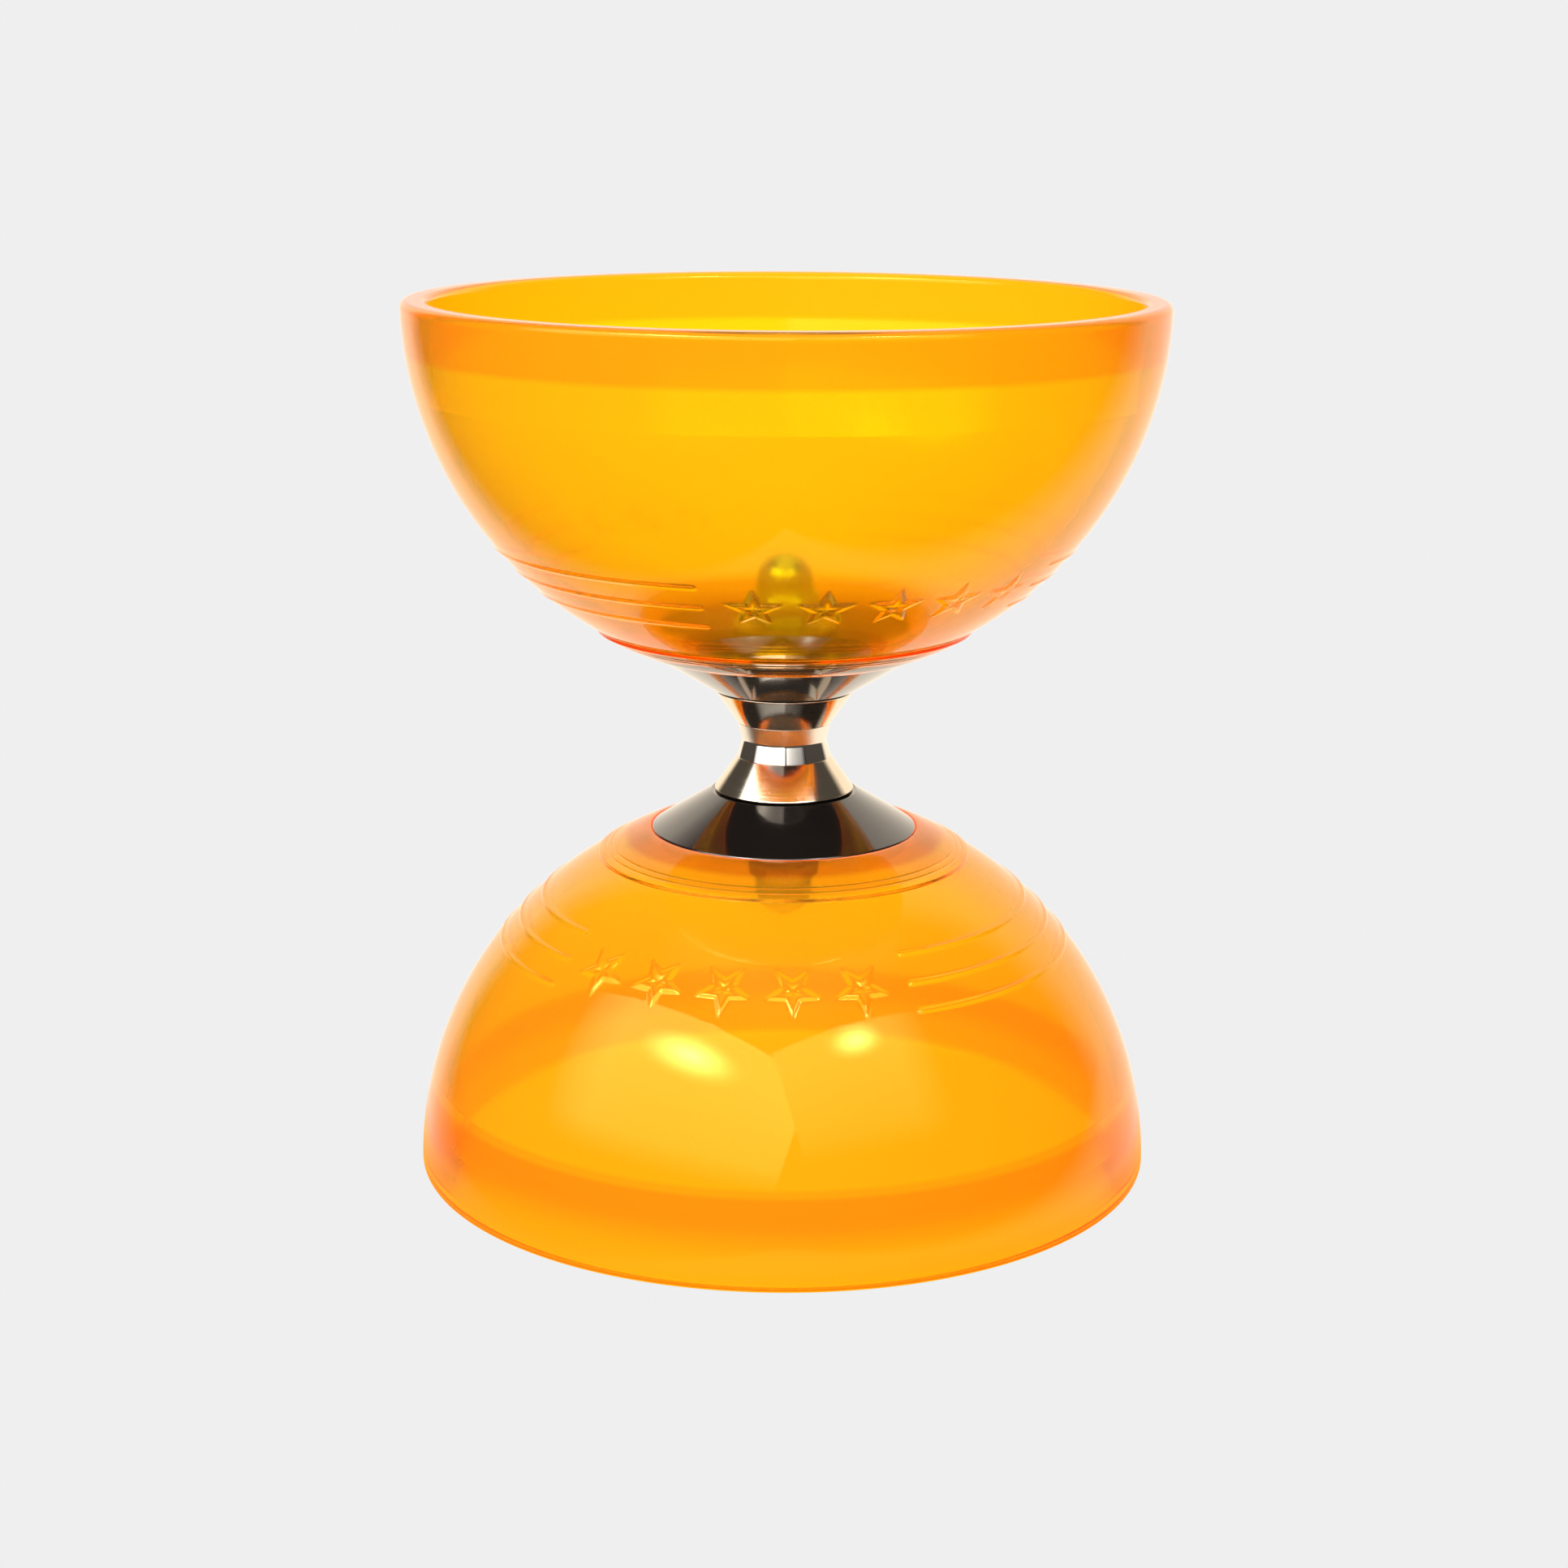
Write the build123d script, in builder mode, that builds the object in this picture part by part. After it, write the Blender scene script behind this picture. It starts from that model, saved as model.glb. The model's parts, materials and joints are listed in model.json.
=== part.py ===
from build123d import *

import os
from math import asin, cos, radians, sin, sqrt, tan

# Bearing diabolo: two round cups on one through-axle, with a string drum that turns freely.
# Units are millimetres. +Z runs along the axle, and the origin is the middle of the string groove.
# The two ends are made of the same pieces: each is drawn for the upper end and turned over for
# the lower one.

# ---- Cups -------------------------------------------------------------------------------------
CUP_RADIUS = 62.5  # outer radius of the hemisphere
CUP_CENTRE_Z = 73.8  # height of the hemisphere's centre
RIM_Z = 73.5  # the rim's flat end, so the diabolo is 147 mm long
CUP_WALL = 3.5
RIM_INNER_RADIUS = 58.1
RIM_FILLET = 1.2
RIM_BAND_Z = 65.2  # the thick rim ends here
RIM_BAND_RADIUS = 57.7
WALL_START_Z = 58.5  # the even wall begins here
CUP_HOLE_RADIUS = 6.2
CUP_FLOOR_Z = 18.2
FLOOR_FILLET = 8.0

# Collar round the hub: a slightly proud land with a shallow seat for the hub cone.
LAND_RADIUS = CUP_RADIUS + 0.5
LAND_EDGE_RADIUS = 31.3
SEAT_Z = 15.8
SEAT_RADIUS = 22.55
LIP_Z = 15.2
LAND_GROOVE_RADII = (29.2, 30.25)
LAND_GROOVE_WIDTH = 0.3
LAND_GROOVE_DEPTH = 0.2

# Raised decoration: three beads with two gaps, and a row of stars in each gap.
BEAD_HEIGHTS_Z = (26.6, 30.25, 33.9)
BEAD_WIDTH = 1.0
BEAD_RISE = 0.3
BEAD_GAP_ANGLE = 76.0
STAR_COUNT = 5
STAR_TIPS = 5
STAR_SPACING_ANGLE = 14.0
STAR_RADIUS = 5.0
STAR_WAIST = 0.42  # inner radius over outer radius
STAR_RISE = 0.3
STAR_ROOT = 0.4
UPPER_DECOR_ANGLE = -68.0
LOWER_DECOR_ANGLE = -102.0

# ---- Hub cones --------------------------------------------------------------------------------
HUB_NOSE_Z = 8.9
HUB_NOSE_RADIUS = 12.3
HUB_EDGE_Z = 15.15
HUB_EDGE_RADIUS = 22.4
HUB_EDGE_FILLET = 0.35
HUB_SHELL = 2.0
HUB_RIM_LAND = 2.4
HUB_BOSS_RADIUS = 8.6
HUB_RIB_COUNT = 8
HUB_RIB_WIDTH = 1.4
HUB_RIB_ROOT = 0.3
SPIGOT_RADIUS = 6.0
SPIGOT_END_Z = 18.0

# ---- String drum ------------------------------------------------------------------------------
GROOVE_RADIUS = 7.05
GROOVE_EDGE_RADIUS = 7.9
GROOVE_EDGE_Z = 3.0
GROOVE_FILLET = 0.6
SLEEVE_END_Z = 7.0
SLEEVE_TUBE_RADIUS = 7.0
SLEEVE_BORE_RADIUS = 6.0
FLANK_END_RADIUS = 11.85
FLANK_END_Z = 8.6
FLANK_LIP_RADIUS = 5.4
FLANK_CHAMFER = 0.15
SEATED_GAP = 0.02  # radial gap between pressed pieces

# ---- Ball bearings, 6 x 12 x 4 ----------------------------------------------------------------
BEARING_HALF_WIDTH = 2.0
BEARING_PITCH_Z = 5.0
BEARING_BORE_RADIUS = 3.0
BEARING_OUTER_RADIUS = SLEEVE_BORE_RADIUS - SEATED_GAP
INNER_LAND_RADIUS = 4.0
OUTER_LAND_RADIUS = 5.0
BALL_PITCH_RADIUS = 4.5
BALL_RADIUS = 0.79
BALL_COUNT = 8
RACE_RADIUS = 0.83
CAGE_INNER_RADIUS = 4.22
CAGE_OUTER_RADIUS = 4.78
CAGE_BACK = 1.15
CAGE_FRONT = 0.35
CAGE_POCKET_RADIUS = 0.84
SHIELD_SEAT_RADIUS = 5.3
SHIELD_SEAT_DEPTH = 0.4
SHIELD_INNER_RADIUS = 4.12
SHIELD_THICKNESS = 0.25
SHIELD_INSET = 0.12

# ---- Axle, M6 ---------------------------------------------------------------------------------
AXLE_RADIUS = 2.98
AXLE_END_Z = 26.5
AXLE_CHAMFER = 0.6
AXLE_HOLE_RADIUS = 3.2
SPACER_RADIUS = 3.95
SPACER_SEAT_DEPTH = 2.0
WASHER_RADIUS = 9.0
WASHER_THICKNESS = 1.0
WASHER_FILLET = 0.25
NUT_ACROSS_FLATS = 10.0
NUT_HEX_HEIGHT = 5.5
NUT_DOME_RADIUS = 4.75
NUT_HEIGHT = 12.0
NUT_BORE_RADIUS = 3.03
NUT_BORE_DEPTH = 8.0
NUT_CHAMFER_RISE = 0.45
NUT_CHAMFER_ANGLE = 30.0
HEXAGON_HALF_ANGLE = 30.0

# ---- Worked out from the above ----------------------------------------------------------------
INNER_SPHERE_RADIUS = CUP_RADIUS - CUP_WALL
WASHER_TOP_Z = CUP_FLOOR_Z + WASHER_THICKNESS


def sphere_r(radius, z):
    """Distance from the axis of a cup's sphere of this radius at height z."""
    return sqrt(radius**2 - (CUP_CENTRE_Z - z) ** 2)


def sphere_z(radius, r):
    """Height of a cup's sphere of this radius at distance r from the axis."""
    return CUP_CENTRE_Z - sqrt(radius**2 - r**2)


def sphere_middle(radius, start_z, end_z):
    """A point on the sphere half way between two heights, for an arc."""
    z = (start_z + end_z) / 2
    return (sphere_r(radius, z), z)


def turned_over(part):
    """The same piece at the lower end."""
    return part.rotate(Axis.X, 180)


def save(part, name):
    part.label = name
    export_step(part, f"parts/{name}.step")


# ---- Cup --------------------------------------------------------------------------------------
def cup(decor_angle):
    """A cup opening upwards. decor_angle is the middle of the first row of stars."""
    land_z = sphere_z(LAND_RADIUS, LAND_EDGE_RADIUS)
    land_foot_z = sphere_z(CUP_RADIUS, LAND_EDGE_RADIUS)
    wall_start_r = sphere_r(INNER_SPHERE_RADIUS, WALL_START_Z)
    floor_r = sphere_r(INNER_SPHERE_RADIUS, CUP_FLOOR_Z)
    rim_r = sphere_r(CUP_RADIUS, RIM_Z)
    with BuildPart() as body:
        with BuildSketch(Plane.XZ) as outline:
            with BuildLine():
                Polyline(
                    (CUP_HOLE_RADIUS, CUP_FLOOR_Z),
                    (CUP_HOLE_RADIUS, SEAT_Z),
                    (SEAT_RADIUS, SEAT_Z),
                    (SEAT_RADIUS, LIP_Z),
                    (sphere_r(LAND_RADIUS, LIP_Z), LIP_Z),
                )
                ThreePointArc(
                    (sphere_r(LAND_RADIUS, LIP_Z), LIP_Z),
                    sphere_middle(LAND_RADIUS, LIP_Z, land_z),
                    (LAND_EDGE_RADIUS, land_z),
                )
                Line((LAND_EDGE_RADIUS, land_z), (LAND_EDGE_RADIUS, land_foot_z))
                ThreePointArc(
                    (LAND_EDGE_RADIUS, land_foot_z),
                    sphere_middle(CUP_RADIUS, land_foot_z, RIM_Z),
                    (rim_r, RIM_Z),
                )
                Polyline(
                    (rim_r, RIM_Z),
                    (RIM_INNER_RADIUS, RIM_Z),
                    (RIM_BAND_RADIUS, RIM_BAND_Z),
                    (wall_start_r, WALL_START_Z),
                )
                ThreePointArc(
                    (wall_start_r, WALL_START_Z),
                    sphere_middle(INNER_SPHERE_RADIUS, WALL_START_Z, CUP_FLOOR_Z),
                    (floor_r, CUP_FLOOR_Z),
                )
                Line((floor_r, CUP_FLOOR_Z), (CUP_HOLE_RADIUS, CUP_FLOOR_Z))
            make_face()
            fillet(outline.vertices().group_by(Axis.Y)[-1], RIM_FILLET)
            fillet(outline.vertices().sort_by_distance((floor_r, CUP_FLOOR_Z))[0], FLOOR_FILLET)
        revolve(axis=Axis.Z)

        # Fine grooves in the collar's land.
        with BuildSketch(Plane.XZ):
            for groove_r in LAND_GROOVE_RADII:
                groove_z = sphere_z(LAND_RADIUS, groove_r)
                with Locations((groove_r, groove_z)):
                    Rectangle(LAND_GROOVE_WIDTH, 2 * LAND_GROOVE_DEPTH)
        revolve(axis=Axis.Z, mode=Mode.SUBTRACT)

        # Beads, left out where the stars are.
        bead_radius = ((BEAD_WIDTH / 2) ** 2 + BEAD_RISE**2) / (2 * BEAD_RISE)
        bead_orbit = CUP_RADIUS + BEAD_RISE - bead_radius
        for side in (0, 180):
            start = decor_angle + side + BEAD_GAP_ANGLE / 2
            with BuildSketch(Plane.XZ.rotated((0, 0, start))):
                for bead_z in BEAD_HEIGHTS_Z:
                    tilt = asin((CUP_CENTRE_Z - bead_z) / CUP_RADIUS)
                    with Locations((bead_orbit * cos(tilt), CUP_CENTRE_Z - bead_orbit * sin(tilt))):
                        Circle(bead_radius)
            revolve(axis=Axis.Z, revolution_arc=180 - BEAD_GAP_ANGLE)

        # Stars, each a low prism standing square to the wall.
        star_tilt = asin((CUP_CENTRE_Z - BEAD_HEIGHTS_Z[1]) / CUP_RADIUS)
        first = -(STAR_COUNT - 1) / 2 * STAR_SPACING_ANGLE
        for side in (0, 180):
            for index in range(STAR_COUNT):
                turn = radians(decor_angle + side + first + index * STAR_SPACING_ANGLE)
                outward = Vector(cos(star_tilt) * cos(turn), cos(star_tilt) * sin(turn), -sin(star_tilt))
                foot = Vector(0, 0, CUP_CENTRE_Z) + outward * (CUP_RADIUS - STAR_ROOT)
                sideways = Vector(-sin(turn), cos(turn), 0)
                with BuildSketch(Plane(origin=foot, x_dir=sideways, z_dir=outward)):
                    Polygon(*star_points(), align=None)
                extrude(amount=STAR_ROOT + STAR_RISE)
    return body.part


def star_points():
    """The corners of a star, tips and waists in turn, anticlockwise from its top."""
    corners = []
    for index in range(2 * STAR_TIPS):
        reach = STAR_RADIUS if index % 2 == 0 else STAR_RADIUS * STAR_WAIST
        angle = radians(90 + 180 / STAR_TIPS * index)
        corners.append((reach * cos(angle), reach * sin(angle)))
    return corners


# ---- Hub cone ---------------------------------------------------------------------------------
def hub_cone():
    """The moulded cone between the drum and the cup, hollow and ribbed on the cup's side."""
    slope = (HUB_EDGE_RADIUS - HUB_NOSE_RADIUS) / (HUB_EDGE_Z - HUB_NOSE_Z)
    pocket_r = HUB_EDGE_RADIUS - HUB_RIM_LAND
    pocket_edge_z = HUB_NOSE_Z + (pocket_r - HUB_NOSE_RADIUS) / slope + HUB_SHELL
    pocket_top_z = HUB_NOSE_Z + HUB_SHELL
    pocket_top_r = pocket_r - (pocket_edge_z - pocket_top_z) * slope
    with BuildPart() as body:
        with BuildSketch(Plane.XZ):
            Polygon(
                (AXLE_HOLE_RADIUS, HUB_NOSE_Z),
                (HUB_NOSE_RADIUS, HUB_NOSE_Z),
                (HUB_EDGE_RADIUS, HUB_EDGE_Z),
                (HUB_EDGE_RADIUS, SEAT_Z),
                (SPIGOT_RADIUS, SEAT_Z),
                (SPIGOT_RADIUS, SPIGOT_END_Z),
                (AXLE_HOLE_RADIUS, SPIGOT_END_Z),
                align=None,
            )
        revolve(axis=Axis.Z)
        edge = body.edges().filter_by_position(Axis.Z, HUB_EDGE_Z, HUB_EDGE_Z)
        fillet(edge, HUB_EDGE_FILLET)

        # Pocket under the shell.
        with BuildSketch(Plane.XZ):
            Polygon(
                (HUB_BOSS_RADIUS, pocket_top_z),
                (pocket_top_r, pocket_top_z),
                (pocket_r, pocket_edge_z),
                (pocket_r, SEAT_Z),
                (HUB_BOSS_RADIUS, SEAT_Z),
                align=None,
            )
        revolve(axis=Axis.Z, mode=Mode.SUBTRACT)

        # Ribs across the pocket, rooted in the walls around it.
        for index in range(HUB_RIB_COUNT):
            turn = 360 / HUB_RIB_COUNT * index
            with BuildSketch(Plane.XZ.rotated((0, 0, turn))):
                Polygon(
                    (HUB_BOSS_RADIUS - HUB_RIB_ROOT, pocket_top_z - HUB_RIB_ROOT),
                    (pocket_top_r, pocket_top_z - HUB_RIB_ROOT),
                    (pocket_r + HUB_RIB_ROOT, pocket_edge_z),
                    (pocket_r + HUB_RIB_ROOT, SEAT_Z),
                    (HUB_BOSS_RADIUS - HUB_RIB_ROOT, SEAT_Z),
                    align=None,
                )
            extrude(amount=HUB_RIB_WIDTH / 2, both=True)

        # Seat for the end spacer, in the nose.
        with Locations((0, 0, HUB_NOSE_Z)):
            Cylinder(
                SPACER_RADIUS + SEATED_GAP,
                SPACER_SEAT_DEPTH,
                align=(Align.CENTER, Align.CENTER, Align.MIN),
                mode=Mode.SUBTRACT,
            )
    return body.part


# ---- Drum -------------------------------------------------------------------------------------
def drum_sleeve():
    """The polished sleeve that holds the bearings, with the V groove that the string runs in."""
    with BuildPart() as body:
        with BuildSketch(Plane.XZ):
            Polygon(
                (SLEEVE_BORE_RADIUS, -SLEEVE_END_Z),
                (SLEEVE_TUBE_RADIUS, -SLEEVE_END_Z),
                (SLEEVE_TUBE_RADIUS, -GROOVE_EDGE_Z),
                (GROOVE_EDGE_RADIUS, -GROOVE_EDGE_Z),
                (GROOVE_RADIUS, 0),
                (GROOVE_EDGE_RADIUS, GROOVE_EDGE_Z),
                (SLEEVE_TUBE_RADIUS, GROOVE_EDGE_Z),
                (SLEEVE_TUBE_RADIUS, SLEEVE_END_Z),
                (SLEEVE_BORE_RADIUS, SLEEVE_END_Z),
                align=None,
            )
        revolve(axis=Axis.Z)
        fillet(body.edges().filter_by_position(Axis.Z, 0, 0), GROOVE_FILLET)
    return body.part


def drum_flank():
    """The brushed cone pressed on the sleeve's end, whose lip holds the bearings in."""
    with BuildPart() as body:
        with BuildSketch(Plane.XZ):
            Polygon(
                (SLEEVE_TUBE_RADIUS + SEATED_GAP, GROOVE_EDGE_Z),
                (GROOVE_EDGE_RADIUS, GROOVE_EDGE_Z),
                (FLANK_END_RADIUS, FLANK_END_Z),
                (FLANK_LIP_RADIUS, FLANK_END_Z),
                (FLANK_LIP_RADIUS, SLEEVE_END_Z),
                (SLEEVE_TUBE_RADIUS + SEATED_GAP, SLEEVE_END_Z),
                align=None,
            )
        revolve(axis=Axis.Z)
        end_edges = body.edges().filter_by_position(Axis.Z, FLANK_END_Z, FLANK_END_Z)
        chamfer(end_edges, FLANK_CHAMFER)
    return body.part


def plain_ring(inner, outer, low, high):
    """A plain ring between two heights."""
    with BuildPart() as body:
        with BuildSketch(Plane.XY.offset(low)):
            Circle(outer)
            Circle(inner, mode=Mode.SUBTRACT)
        extrude(amount=high - low)
    return body.part


# ---- Bearings ---------------------------------------------------------------------------------
def bearing_inner_ring(middle_z):
    with BuildPart() as body:
        with BuildSketch(Plane.XY.offset(middle_z - BEARING_HALF_WIDTH)):
            Circle(INNER_LAND_RADIUS)
            Circle(BEARING_BORE_RADIUS, mode=Mode.SUBTRACT)
        extrude(amount=2 * BEARING_HALF_WIDTH)
        with Locations((0, 0, middle_z)):
            Torus(BALL_PITCH_RADIUS, RACE_RADIUS, mode=Mode.SUBTRACT)
    return body.part


def bearing_outer_ring(middle_z):
    with BuildPart() as body:
        with BuildSketch(Plane.XY.offset(middle_z - BEARING_HALF_WIDTH)):
            Circle(BEARING_OUTER_RADIUS)
            Circle(OUTER_LAND_RADIUS, mode=Mode.SUBTRACT)
        extrude(amount=2 * BEARING_HALF_WIDTH)
        with Locations((0, 0, middle_z)):
            Torus(BALL_PITCH_RADIUS, RACE_RADIUS, mode=Mode.SUBTRACT)
        for side in (-1, 1):
            with Locations((0, 0, middle_z + side * (BEARING_HALF_WIDTH - SHIELD_SEAT_DEPTH / 2))):
                Cylinder(SHIELD_SEAT_RADIUS, SHIELD_SEAT_DEPTH, mode=Mode.SUBTRACT)
    return body.part


def bearing_balls(middle_z):
    with BuildPart() as body:
        with Locations((0, 0, middle_z)):
            with PolarLocations(BALL_PITCH_RADIUS, BALL_COUNT):
                Sphere(BALL_RADIUS)
    return body.part


def bearing_cage(middle_z):
    """A crown cage: a ring with one round pocket for each ball."""
    with BuildPart() as body:
        with BuildSketch(Plane.XY.offset(middle_z - CAGE_BACK)):
            Circle(CAGE_OUTER_RADIUS)
            Circle(CAGE_INNER_RADIUS, mode=Mode.SUBTRACT)
        extrude(amount=CAGE_BACK + CAGE_FRONT)
        with Locations((0, 0, middle_z)):
            with PolarLocations(BALL_PITCH_RADIUS, BALL_COUNT):
                Sphere(CAGE_POCKET_RADIUS, mode=Mode.SUBTRACT)
    return body.part


def bearing_shields(middle_z):
    with BuildPart() as body:
        for side in (-1, 1):
            shield_z = BEARING_HALF_WIDTH - SHIELD_INSET - SHIELD_THICKNESS / 2
            with Locations((0, 0, middle_z + side * shield_z)):
                Cylinder(SHIELD_SEAT_RADIUS - SEATED_GAP, SHIELD_THICKNESS)
                Cylinder(SHIELD_INNER_RADIUS, SHIELD_THICKNESS, mode=Mode.SUBTRACT)
    return body.part


# ---- Axle and fasteners -----------------------------------------------------------------------
def axle_rod():
    with BuildPart() as body:
        Cylinder(AXLE_RADIUS, 2 * AXLE_END_Z)
        ends = body.edges().filter_by(GeomType.CIRCLE)
        chamfer(ends, AXLE_CHAMFER)
    return body.part


def washer():
    with BuildPart() as body:
        with BuildSketch(Plane.XY.offset(CUP_FLOOR_Z)):
            Circle(WASHER_RADIUS)
            Circle(AXLE_HOLE_RADIUS, mode=Mode.SUBTRACT)
        extrude(amount=WASHER_THICKNESS)
        outer = body.edges().filter_by(GeomType.CIRCLE).group_by(SortBy.RADIUS)[-1]
        fillet(outer, WASHER_FILLET)
    return body.part


def dome_nut():
    """A hexagon dome nut, blind at the top."""
    corner_radius = NUT_ACROSS_FLATS / 2 / cos(radians(HEXAGON_HALF_ANGLE))
    dome_z = WASHER_TOP_Z + NUT_HEIGHT - NUT_DOME_RADIUS
    with BuildPart() as body:
        with BuildSketch(Plane.XY.offset(WASHER_TOP_Z)):
            RegularPolygon(corner_radius, 6)
        extrude(amount=NUT_HEX_HEIGHT)
        # Both ends of the hexagon are turned to a chamfer.
        with BuildSketch(Plane.XZ, mode=Mode.PRIVATE) as turned:
            flat_radius = corner_radius - NUT_CHAMFER_RISE / tan(radians(NUT_CHAMFER_ANGLE))
            Polygon(
                (0, WASHER_TOP_Z),
                (flat_radius, WASHER_TOP_Z),
                (corner_radius, WASHER_TOP_Z + NUT_CHAMFER_RISE),
                (corner_radius, WASHER_TOP_Z + NUT_HEX_HEIGHT - NUT_CHAMFER_RISE),
                (flat_radius, WASHER_TOP_Z + NUT_HEX_HEIGHT),
                (0, WASHER_TOP_Z + NUT_HEX_HEIGHT),
                align=None,
            )
        revolve(turned.sketch, axis=Axis.Z, mode=Mode.INTERSECT)
        with BuildSketch(Plane.XZ, mode=Mode.PRIVATE) as dome:
            with BuildLine():
                Polyline(
                    (0, WASHER_TOP_Z + NUT_HEX_HEIGHT),
                    (NUT_DOME_RADIUS, WASHER_TOP_Z + NUT_HEX_HEIGHT),
                    (NUT_DOME_RADIUS, dome_z),
                )
                CenterArc((0, dome_z), NUT_DOME_RADIUS, 0, 90)
                Line((0, dome_z + NUT_DOME_RADIUS), (0, WASHER_TOP_Z + NUT_HEX_HEIGHT))
            make_face()
        revolve(dome.sketch, axis=Axis.Z)
        with Locations((0, 0, WASHER_TOP_Z)):
            Cylinder(
                NUT_BORE_RADIUS,
                NUT_BORE_DEPTH,
                align=(Align.CENTER, Align.CENTER, Align.MIN),
                mode=Mode.SUBTRACT,
            )
    return body.part


# ---- Everything, named ------------------------------------------------------------------------
def main():
    os.makedirs("parts", exist_ok=True)
    save(cup(UPPER_DECOR_ANGLE), "upper_cup")
    save(turned_over(cup(-LOWER_DECOR_ANGLE)), "lower_cup")

    end_spacer = plain_ring(
        AXLE_RADIUS + SEATED_GAP, SPACER_RADIUS, SLEEVE_END_Z, HUB_NOSE_Z + SPACER_SEAT_DEPTH
    )
    between = (BEARING_HALF_WIDTH, BEARING_PITCH_Z - BEARING_HALF_WIDTH)
    inner_spacer = plain_ring(AXLE_RADIUS + SEATED_GAP, INNER_LAND_RADIUS, *between)
    outer_spacer = plain_ring(SHIELD_SEAT_RADIUS, BEARING_OUTER_RADIUS, *between)
    end_pieces = {
        "hub_cone": hub_cone(),
        "drum_flank": drum_flank(),
        "washer": washer(),
        "dome_nut": dome_nut(),
        "end_spacer": end_spacer,
        "inner_spacer": inner_spacer,
        "outer_spacer": outer_spacer,
    }
    for name, part in end_pieces.items():
        save(part, f"upper_{name}")
        save(turned_over(part), f"lower_{name}")

    save(axle_rod(), "axle_rod")
    save(drum_sleeve(), "drum_sleeve")
    bearing_heights = {"upper": BEARING_PITCH_Z, "middle": 0.0, "lower": -BEARING_PITCH_Z}
    for place, middle_z in bearing_heights.items():
        save(bearing_inner_ring(middle_z), f"{place}_bearing_inner_ring")
        save(bearing_outer_ring(middle_z), f"{place}_bearing_outer_ring")
        save(bearing_balls(middle_z), f"{place}_bearing_balls")
        save(bearing_cage(middle_z), f"{place}_bearing_cage")
        save(bearing_shields(middle_z), f"{place}_bearing_shields")


main()
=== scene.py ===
import json
from math import acos, cos, pi, radians, sin, sqrt, tan

import bpy
import numpy as np
from mathutils import Matrix, Vector


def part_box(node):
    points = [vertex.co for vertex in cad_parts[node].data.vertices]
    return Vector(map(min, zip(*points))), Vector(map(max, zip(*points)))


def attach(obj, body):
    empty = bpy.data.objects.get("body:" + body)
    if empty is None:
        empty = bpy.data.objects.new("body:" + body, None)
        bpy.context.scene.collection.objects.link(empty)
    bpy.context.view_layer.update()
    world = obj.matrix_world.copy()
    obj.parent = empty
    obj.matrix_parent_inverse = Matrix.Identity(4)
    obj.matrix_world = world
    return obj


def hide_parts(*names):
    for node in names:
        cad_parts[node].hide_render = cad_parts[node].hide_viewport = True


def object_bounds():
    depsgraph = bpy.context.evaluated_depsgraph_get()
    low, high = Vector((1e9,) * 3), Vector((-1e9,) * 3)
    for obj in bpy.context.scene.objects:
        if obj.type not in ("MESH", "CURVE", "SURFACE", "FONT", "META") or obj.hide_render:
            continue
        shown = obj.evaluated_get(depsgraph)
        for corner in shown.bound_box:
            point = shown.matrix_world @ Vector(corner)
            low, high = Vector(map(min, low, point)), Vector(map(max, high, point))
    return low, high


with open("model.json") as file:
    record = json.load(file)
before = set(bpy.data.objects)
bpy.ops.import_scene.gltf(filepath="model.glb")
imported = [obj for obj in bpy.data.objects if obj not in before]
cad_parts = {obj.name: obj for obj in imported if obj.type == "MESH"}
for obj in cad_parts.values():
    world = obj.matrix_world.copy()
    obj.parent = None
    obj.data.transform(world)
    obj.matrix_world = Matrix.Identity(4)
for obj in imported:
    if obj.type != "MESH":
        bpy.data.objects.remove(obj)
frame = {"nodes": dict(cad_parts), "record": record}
cad_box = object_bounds()

# A bearing diabolo in a pale studio. Profiles are in millimetres, as (distance from the axle,
# height), and are turned into metres when a mesh is made. Each end piece is drawn for the upper
# end and mirrored for the lower one.
MM = 0.001
HUB_BODY = "cups_and_axle"
DRUM_BODY = "string_drum"
UPPER, LOWER = 1, -1
END_NAMES = {UPPER: "upper", LOWER: "lower"}


def node_span(node):
    """A node's lowest height, highest height and outer radius, in millimetres."""
    low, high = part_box(node)
    return low.z / MM, high.z / MM, high.x / MM


# ---- Sizes ------------------------------------------------------------------------------------
BORE_FILLET = 0.3
FINE_FILLET = 0.1
JOIN_FILLET = 0.05
FLAT_REACH = 1.25  # an extra point stands at this many times a rounding's reach from its corner

LIP_Z, RIM_Z, _ = node_span("upper_cup")
CUP_RADIUS = 62.5
CUP_CENTRE_Z = 73.8
CUP_WALL = 3.5
RIM_INNER_RADIUS = 58.1
RIM_FILLET = 1.2
RIM_BAND_Z = 65.2
RIM_BAND_RADIUS = 57.7
WALL_START_Z = 58.5
STEP_FILLET = 0.5
CUP_HOLE_RADIUS = 6.2
CUP_FLOOR_Z, WASHER_TOP_Z, WASHER_RADIUS = node_span("upper_washer")
FLOOR_FILLET = 8.0
LAND_RISE = 0.5
LAND_EDGE_RADIUS = 31.3
LAND_EDGE_WIDTH = 0.3
LAND_GROOVE_RADII = (29.2, 30.25)
LAND_GROOVE_HALF_WIDTH = 0.22
LAND_GROOVE_DEPTH = 0.13
SEAT_Z = 15.8
SEAT_RADIUS = 22.55
SEAT_FILLET = 0.15
LIP_FILLET = 0.2
RIM_ROUND_START = 2.2  # in rim fillets below the rim: the sphere's rows end there

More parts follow.
